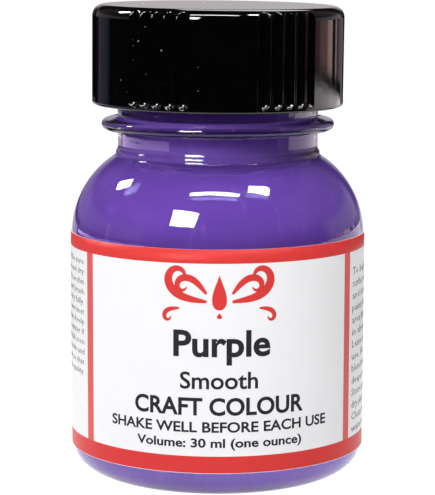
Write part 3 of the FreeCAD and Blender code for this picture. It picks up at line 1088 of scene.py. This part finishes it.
ROOM_PATCHES = (
    ((165, 200), (-2, 13), (0.56, 0.52, 0.53)),
    ((-200, -165), (-2, 13), (0.56, 0.52, 0.53)),
    ((-165, -60), (-2, 13), (0.28, 0.25, 0.28)),
    ((95, 150), (-2, 13), (0.50, 0.46, 0.46)),
    ((60, 150), (14, 46), (0.15, 0.13, 0.13)),
    ((-150, -60), (14, 38), (0.08, 0.07, 0.07)),
)
ROOM_UNLIT = (0.012, 0.010, 0.012)
ROOM_SOFTNESS = (6.0, 4.0)

# The floor as the paint sees it through its glass, near the jar and far from it, and the distances between
# which it changes. All of the floor's light fades to a share of itself where the jar stands on it, as a
# painted contact shadow.
GLOW_NEAR = 4.2
GLOW_FAR = 1.1
GLOW_REACH = (0.05, 0.10)
CONTACT_SHADOW_SHARE = 0.33
CONTACT_SHADOW_REACH = (0.75 * BODY_RADIUS, 1.17 * BODY_RADIUS)
# The floor as the camera sees it, which is matt paint with a share of plain white light.
FLOOR_COLOUR = (0.82, 0.82, 0.82)
FLOOR_WHITE = 1.12
FLOOR_WHITE_SHARE = 0.88
ROOM_LIGHT = 0.30


def angle_from_front(shader, parts):
    """The angle of a place or a direction from the front of the jar towards +X, in degrees."""
    forward = shader.math("MULTIPLY", parts.outputs["Y"], -1.0)
    return shader.math("MULTIPLY", shader.math("ARCTAN2", parts.outputs["X"], forward), 360 / TURN)


def patchwork(shader, angle, measure, patches, unlit, softness):
    """The colour of the patch that holds an angle and a second measure, with the softness of each."""
    total = unlit
    for (first, last), (low, high), colour in patches:
        across = shader.window(angle, first, last, softness[0])
        along = shader.window(measure, low, high, softness[1])
        lit = shader.node("VectorMath", {0: colour}, operation="SCALE")
        shader.tree.links.new(shader.math("MULTIPLY", across, along), lit.inputs["Scale"])
        total = shader.node("VectorMath", {0: total, 1: lit.outputs[0]}, operation="ADD").outputs[0]
    return total


def undiffused(shader, path):
    """1 for light that has met only mirror-like surfaces on its way to the camera, and 0 for the rest."""
    return shader.math("SUBTRACT", 1.0, path.outputs["Diffuse Depth"], clamp=True)


def staged_rectangle(name, half_wide, half_tall, material):
    """A flat rectangle with one material, not attached to the jar."""
    corners = [(x * half_wide, y * half_tall, 0) for x, y in ((-1, -1), (1, -1), (1, 1), (-1, 1))]
    mesh = bpy.data.meshes.new(name)
    mesh.from_pydata(corners, [], [(0, 1, 2, 3)])
    mesh.materials.append(material)
    rectangle = add_object(name, mesh)
    return rectangle


def make_floor():
    """A pale floor. Mirror reflections see it as a lit table top that ends in a dark studio."""
    material, shader = new_material("pale_floor")
    geometry = shader.node("NewGeometry")
    place = geometry.outputs["Position"]
    parts = shader.node("SeparateXYZ", {0: place})
    distance = shader.node("VectorMath", {0: place}, operation="LENGTH").outputs["Value"]
    angle = angle_from_front(shader, parts)
    pattern = patchwork(shader, angle, distance, FLOOR_PATCHES, FLOOR_UNLIT, FLOOR_SOFTNESS)
    # A painted contact shadow: the floor's glowing light fades where the jar stands on it.
    contact = shader.span(distance, *CONTACT_SHADOW_REACH, CONTACT_SHADOW_SHARE, 1.0)

    path = shader.node("LightPath")
    matt = shader.node("BsdfDiffuse", {"Color": FLOOR_COLOUR})
    white = shader.node("Emission", {"Strength": FLOOR_WHITE})
    mirrored = shader.node("Emission", {"Color": pattern, "Strength": contact})
    seen = shader.mix(FLOOR_WHITE_SHARE, matt, white)
    surface = shader.mix(path.outputs["Is Camera Ray"], matt, seen)
    # The paint looks out through its glass at a brightly lit floor, and not at the mirrored studio.
    glow_here = shader.span(distance, *GLOW_REACH, GLOW_NEAR, GLOW_FAR)
    bright = shader.node("Emission", {"Strength": shader.math("MULTIPLY", glow_here, contact)})
    behind_glass = shader.mix(undiffused(shader, path), bright, mirrored)
    surface = shader.mix(path.outputs["Is Glossy Ray"], surface, behind_glass)
    surface = shader.mix(geometry.outputs["Backfacing"], surface, shader.node("BsdfTransparent"))
    shader.output(surface.outputs[0])
    staged_rectangle("floor", STAGE_HALF, STAGE_HALF, material)


def make_world():
    """White to the camera, an even soft light on matt surfaces, and a dark studio in reflections."""
    world = bpy.data.worlds.new("studio")
    bpy.context.scene.world = world
    shader = Shader(world)
    parts = shader.node("SeparateXYZ", {0: shader.node("TexCoord").outputs["Generated"]})
    above = shader.math("MULTIPLY", shader.math("ARCSINE", parts.outputs["Z"]), 360 / TURN)
    angle = angle_from_front(shader, parts)
    pattern = patchwork(shader, angle, above, ROOM_PATCHES, ROOM_UNLIT, ROOM_SOFTNESS)
    mirrored = shader.node("Background", {"Color": pattern})
    soft = shader.node("Background", {"Color": (1, 1, 1), "Strength": ROOM_LIGHT})
    seen = shader.node("Background", {"Color": (1, 1, 1)})
    path = shader.node("LightPath")
    surface = shader.mix(path.outputs["Is Glossy Ray"], soft, mirrored)
    surface = shader.mix(path.outputs["Is Camera Ray"], surface, seen)
    shader.output(surface.outputs[0], "OutputWorld")


# Each softbox: the angle from the front towards +X and the height angle of its middle, how wide and tall
# it looks from the jar and how far it is turned in its own plane, all in degrees, and then how bright it
# is to matt surfaces and to mirror-like ones, which see it brighter so that small highlights stay white.
SOFTBOXES = {
    "key": (-28.8, 30.5, 18.2, 17.0, -1, 14.5, 42.0),
    "top_strip": (-4.9, 64.0, 31.2, 4.6, 0, 18.0, 42.0),
    "right": (59.4, 61.0, 13.3, 9.0, -49, 18.0, 42.0),
    "left_back": (-115.4, 38.7, 8.5, 10.0, -25, 20.0, 50.0),
    "back": (172.0, 46.0, 22.0, 20.0, 0, 10.0, 4.0),
}
SOFTBOX_DISTANCE = 0.6
# Watts for each square metre of lamp that give it a brightness of 1.
LAMP_POWER = 4
CARD_GAP = 0.01
LIGHT_TARGET = Vector((0, 0, 36 * MM))


def make_softboxes():
    for name, (azimuth, elevation, wide, tall, roll, brightness, mirrored) in SOFTBOXES.items():
        around = from_front(math.radians(azimuth))
        up = math.radians(elevation)
        towards = Vector((math.cos(around) * math.cos(up), math.sin(around) * math.cos(up), math.sin(up)))
        light = bpy.data.lights.new(name, "AREA")
        light.shape = "RECTANGLE"
        light.size = 2 * SOFTBOX_DISTANCE * math.tan(math.radians(wide) / 2)
        light.size_y = 2 * SOFTBOX_DISTANCE * math.tan(math.radians(tall) / 2)
        light.energy = LAMP_POWER * light.size * light.size_y * brightness
        lamp = add_object(name, light)
        lamp.location = LIGHT_TARGET + towards * SOFTBOX_DISTANCE
        turned = towards.to_track_quat("Z", "Y") @ Quaternion((0, 0, 1), math.radians(roll))
        lamp.rotation_euler = turned.to_euler()
        lamp.visible_camera = False
        make_card(name + "_card", lamp, towards, mirrored)


def make_card(name, lamp, towards, brightness):
    """A card just before a softbox, bright in mirror reflections and clear to every other ray."""
    material, shader = new_material(name)
    bright = shader.node("Emission", {"Strength": brightness})
    path = shader.node("LightPath")
    mirrored = shader.math("MULTIPLY", path.outputs["Is Glossy Ray"], undiffused(shader, path))
    shader.output(shader.mix(mirrored, shader.node("BsdfTransparent"), bright).outputs[0])
    material.cycles.emission_sampling = "NONE"
    card = staged_rectangle(name, lamp.data.size / 2, lamp.data.size_y / 2, material)
    card.location = lamp.location - towards * CARD_GAP
    card.rotation_euler = lamp.rotation_euler
    card.visible_camera = False


CAMERA_PLACE = Vector((0.0, -253.6 * MM, 65.0 * MM))
CAMERA_TILT = math.radians(8.39)
CAMERA_ROLL = math.radians(0.16)
CAMERA_LENS = 150.49


def make_camera():
    data = bpy.data.cameras.new("camera")
    data.lens = CAMERA_LENS
    camera = add_object("camera", data)
    camera.location = CAMERA_PLACE
    aim = Matrix.Rotation(TURN / 4 - CAMERA_TILT, 3, "X") @ Matrix.Rotation(CAMERA_ROLL, 3, "Z")
    camera.rotation_euler = aim.to_euler()
    bpy.context.scene.camera = camera


# ---- Assembly.

def finish_piece(piece, body, materials, replaced=()):
    for material in materials:
        piece.data.materials.append(material)
    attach(piece, body)
    if replaced:
        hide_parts(*replaced)


def main():
    white = paper("white_paper", (0.75, 0.75, 0.765), (0.71, 0.71, 0.725))
    red = paper("red_ink", (0.60, 0.040, 0.036), (0.54, 0.034, 0.032))
    pale_red = paper("pale_red_ink", (0.62, 0.100, 0.095), (0.57, 0.080, 0.076))
    grey = paper("grey_ink", (0.014, 0.012, 0.017), (0.020, 0.018, 0.024))
    pale_grey = paper("pale_grey_ink", (0.10, 0.095, 0.11), (0.13, 0.125, 0.14))
    finish_piece(make_bottle(), "jar", [clear_glass()], ["glass_bottle"])
    finish_piece(make_paint(), "jar", [violet_paint()], ["paint"])
    finish_piece(make_label(), "jar", [white, red, pale_red], ["paper_label"])
    finish_piece(make_front_text(), "jar", [grey])
    finish_piece(make_ornament(), "jar", [red])
    panels = {"left_print": (LEFT_PANEL, LEFT_BLOCK), "right_print": (RIGHT_PANEL, RIGHT_BLOCK)}
    for name, (panel, block) in panels.items():
        finish_piece(make_side_text(name, panel, block), "jar", [pale_grey])
    finish_piece(make_cap(), "cap", [black_plastic()], ["screw_cap"])
    finish_piece(make_liner(), "liner", [white_foam()], ["cap_liner"])
    make_floor()
    make_world()
    make_softboxes()
    make_camera()
    bpy.context.scene.view_settings.view_transform = "Standard"


main()
